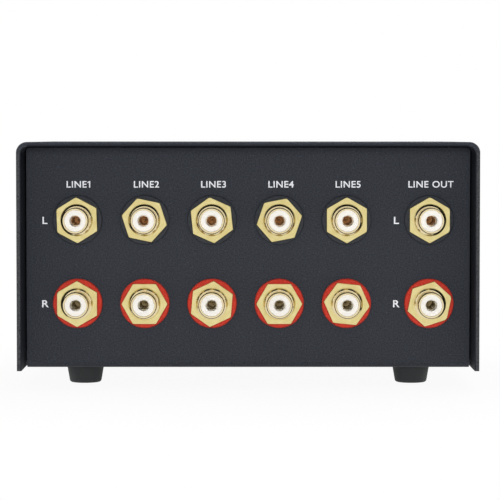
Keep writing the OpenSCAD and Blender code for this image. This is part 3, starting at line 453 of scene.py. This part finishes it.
# Flag of the figure 1, as shares of its height: stroke, overlap, reach, and drops of three corners
flag = {"stroke": 0.25, "overlap": 0.02, "reach": 0.24, "tip": 0.16, "underTip": 0.33, "underHead": 0.19}


def addPiece(name, mesh, material, body):
    mesh.materials.clear()
    mesh.materials.append(material)
    piece = bpy.data.objects.new(name, mesh)
    bpy.context.scene.collection.objects.link(piece)
    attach(piece, body)
    return piece


def addFlag(shaped, cap):
    # The built-in figure 1 is a bare stroke, so a short slanted stroke is set at its head
    right = max(vert.co.x for vert in shaped.verts)
    stroke = [vert.co for vert in shaped.verts if vert.co.x > right - flag["stroke"] * cap]
    left = min(corner.x for corner in stroke) + flag["overlap"] * cap
    tip = left - flag["reach"] * cap
    head = max(corner.y for corner in stroke)
    outline = [(left, head), (tip, head - flag["tip"] * cap), (tip, head - flag["underTip"] * cap),
               (left, head - flag["underHead"] * cap)]
    half = ink["thick"] * mm / 2
    sides = [[shaped.verts.new((x, y, z)) for x, y in outline] for z in (-half, half)]
    shaped.faces.new(reversed(sides[0]))
    shaped.faces.new(sides[1])
    for i in range(len(outline)):
        shaped.faces.new((sides[0][i - 1], sides[0][i], sides[1][i], sides[1][i - 1]))
    bmesh.ops.recalc_face_normals(shaped, faces=shaped.faces)


def makeWord(name, text, capHeight, place, towards, widen=ink["widen"]):
    words = bpy.data.curves.new(name, "FONT")
    words.body = text
    words.size = capHeight * mm / font["capShare"]
    words.offset = ink["bold"] * words.size
    words.extrude = ink["thick"] * mm / 2
    words.space_character = ink["spacing"]
    words.align_x = "CENTER"
    words.align_y = "CENTER"
    source = bpy.data.objects.new(name + "Source", words)
    bpy.context.scene.collection.objects.link(source)
    bpy.context.view_layer.update()
    mesh = bpy.data.meshes.new_from_object(source.evaluated_get(bpy.context.evaluated_depsgraph_get()))
    bpy.data.objects.remove(source)
    shaped = bmesh.new()
    shaped.from_mesh(mesh)
    bmesh.ops.remove_doubles(shaped, verts=shaped.verts, dist=font["weld"] * mm)
    if text.endswith("1"):
        addFlag(shaped, capHeight * mm)
    # The word stands up, and faces back or front
    turn = Euler((math.radians(90), 0, 0 if towards < 0 else math.radians(180))).to_matrix().to_4x4()
    lift = Matrix.Translation(Vector(place) + Vector((0, towards * ink["thick"] * mm / 2, 0)))
    shaped.transform(lift @ turn @ Matrix.Diagonal((widen, 1, 1, 1)))
    shaped.to_mesh(mesh)
    shaped.free()
    return addPiece(name, mesh, materials["ink"], "case")


for port in ports:
    centre = middle(f"socket_insulator_left_{port}")
    text = "LINE OUT" if port == "out" else "LINE" + port
    makeWord(f"label_{port}", text, ink["cap"],
             (centre.x + ink["labelShift"] * mm, rearFace, centre.z + ink["rise"] * mm), -1)
for row, letter in zip(rows, "LR"):
    for port in ("1", "out"):
        centre = middle(f"socket_insulator_{row}_{port}")
        makeWord(f"channel_{row}_{port}", letter, ink["sideCap"],
                 (centre.x + ink["sideShift"] * mm, rearFace, centre.z - ink["sideDrop"] * mm), -1,
                 ink["sideWiden"])

# Dial, in mm and degrees from the top
dial = {"places": 5, "first": -60, "step": 30, "cap": 3.0, "reach": 26, "tickFrom": 20.2, "tickTo": 22.6,
        "tickWidth": 0.6}


def dialPoint(turn, reach):
    # A place on the front panel, turned clockwise from the top as seen from the front
    return Vector((selectorAxis.x - math.sin(turn) * reach * mm, frontFace,
                   selectorAxis.z + math.cos(turn) * reach * mm))


def makeTick(name, turn):
    shaped = bmesh.new()
    bmesh.ops.create_cube(shaped, size=mm)
    length = dial["tickTo"] - dial["tickFrom"]
    bmesh.ops.scale(shaped, verts=shaped.verts, vec=(dial["tickWidth"], ink["thick"], length))
    bmesh.ops.rotate(shaped, verts=shaped.verts, matrix=Matrix.Rotation(-turn, 3, "Y"))
    centre = dialPoint(turn, (dial["tickFrom"] + dial["tickTo"]) / 2)
    bmesh.ops.translate(shaped, verts=shaped.verts, vec=centre + Vector((0, ink["thick"] * mm / 2, 0)))
    mesh = bpy.data.meshes.new(name)
    shaped.to_mesh(mesh)
    shaped.free()
    return addPiece(name, mesh, materials["ink"], "case")


for i in range(dial["places"]):
    turn = math.radians(dial["first"] + dial["step"] * i)
    makeWord(f"dial_{i + 1}", str(i + 1), dial["cap"], dialPoint(turn, dial["reach"]), 1)
    makeTick(f"tick_{i + 1}", turn)
print("lettering done")

# Floor, in metres: white all round and a little shaded near the object, where its shadow falls
floorLook = {"size": 6.0, "drop": 0.00002, "color": "#b8b8b8", "nearShare": 0.94, "near": 0.08, "far": 0.18}


def seenDirectly(tree):
    # 1 where the camera, a reflection or glass looks at a surface, and 0 where it only gives light
    path = addNode(tree, "LightPath")
    seen = addNode(tree, "Math", {0: path.outputs["Is Camera Ray"], 1: path.outputs["Is Glossy Ray"]},
                   operation="MAXIMUM")
    seen = addNode(tree, "Math", {0: seen.outputs[0], 1: path.outputs["Is Transmission Ray"]},
                   operation="MAXIMUM")
    return seen.outputs[0]


def makePaper():
    # White backdrop paper, matt: it vanishes into the background and holds only a soft shadow
    material, tree = newTree("whitePaper")
    place = addNode(tree, "TexCoord").outputs["Object"]
    reach = addNode(tree, "VectorMath", {0: place}, operation="LENGTH").outputs["Value"]
    fade = addNode(tree, "MapRange", {0: reach, 1: floorLook["near"], 2: floorLook["far"],
                                      3: floorLook["nearShare"]}, interpolation_type="SMOOTHSTEP")
    share = addNode(tree, "Math", {0: seenDirectly(tree), 1: fade.outputs[0]}, operation="MULTIPLY")
    matt = addNode(tree, "BsdfDiffuse", {"Color": hexColor(floorLook["color"])})
    glow = addNode(tree, "Emission", {"Color": hexColor("#ffffff"), "Strength": 1.0})
    mix = addNode(tree, "MixShader", {0: share.outputs[0], 1: matt.outputs[0], 2: glow.outputs[0]})
    addNode(tree, "OutputMaterial", {"Surface": mix.outputs[0]})
    return material


half = floorLook["size"] / 2
corners = [(-half, -half, 0), (half, -half, 0), (half, half, 0), (-half, half, 0)]
floorMesh = bpy.data.meshes.new("floor")
floorMesh.from_pydata(corners, [], [(0, 1, 2, 3)])
floorMesh.materials.append(makePaper())
floor = bpy.data.objects.new("floor", floorMesh)
floor.location.z = -floorLook["drop"]
bpy.context.scene.collection.objects.link(floor)

# White surroundings, full strength where they are seen and softer where they light
studio = {"light": 0.16, "seen": 1.0}
world = bpy.data.worlds.new("studio")
bpy.context.scene.world = world
world.use_nodes = True
tree = world.node_tree
tree.nodes.clear()
strength = addNode(tree, "MapRange", {0: seenDirectly(tree), 3: studio["light"], 4: studio["seen"]})
backdrop = addNode(tree, "Background", {"Color": hexColor("#ffffff"), "Strength": strength.outputs[0]})
addNode(tree, "OutputWorld", {"Surface": backdrop.outputs[0]})

# Square lamps, in metres and watts, all aimed at the middle of the object
lamps = {
    "key": {"at": (-0.06, -2.2, 0.3), "size": 0.5, "power": 18.9, "mirrored": False},
    "fill": {"at": (0.1, -2.0, 0.12), "size": 0.5, "power": 13.5, "mirrored": False},
    "left": {"at": (-1.8, 0.4, 0.7), "size": 1.2, "power": 22, "mirrored": True},
    "right": {"at": (1.8, 0.4, 0.7), "size": 1.2, "power": 22, "mirrored": True},
    "front": {"at": (0.6, 1.5, 1.2), "size": 1.2, "power": 28, "mirrored": True},
    "top": {"at": (0, 0, 1.8), "size": 1.6, "power": 28, "mirrored": False},
}
aim = Vector((0, 0, 0.04))
for name, lamp in lamps.items():
    light = bpy.data.lights.new(name, "AREA")
    light.size = lamp["size"]
    light.energy = lamp["power"]
    holder = bpy.data.objects.new(name, light)
    holder.location = lamp["at"]
    holder.rotation_euler = (aim - holder.location).to_track_quat("-Z", "Y").to_euler()
    holder.visible_camera = False
    holder.visible_glossy = lamp["mirrored"]
    bpy.context.scene.collection.objects.link(holder)
print("floor and lights done")

# Camera, behind the object and a little above its top, looking slightly down
view = {"place": (0.0006, -0.8133, 0.0798), "down": 2.689, "lens": 173.93, "sensor": 36}
camera = bpy.data.cameras.new("camera")
camera.lens = view["lens"]
camera.sensor_width = view["sensor"]
cameraObject = bpy.data.objects.new("camera", camera)
cameraObject.location = view["place"]
cameraObject.rotation_euler = (math.radians(90 - view["down"]), 0, 0)
bpy.context.scene.collection.objects.link(cameraObject)
bpy.context.scene.camera = cameraObject
bpy.context.scene.view_settings.view_transform = "Standard"
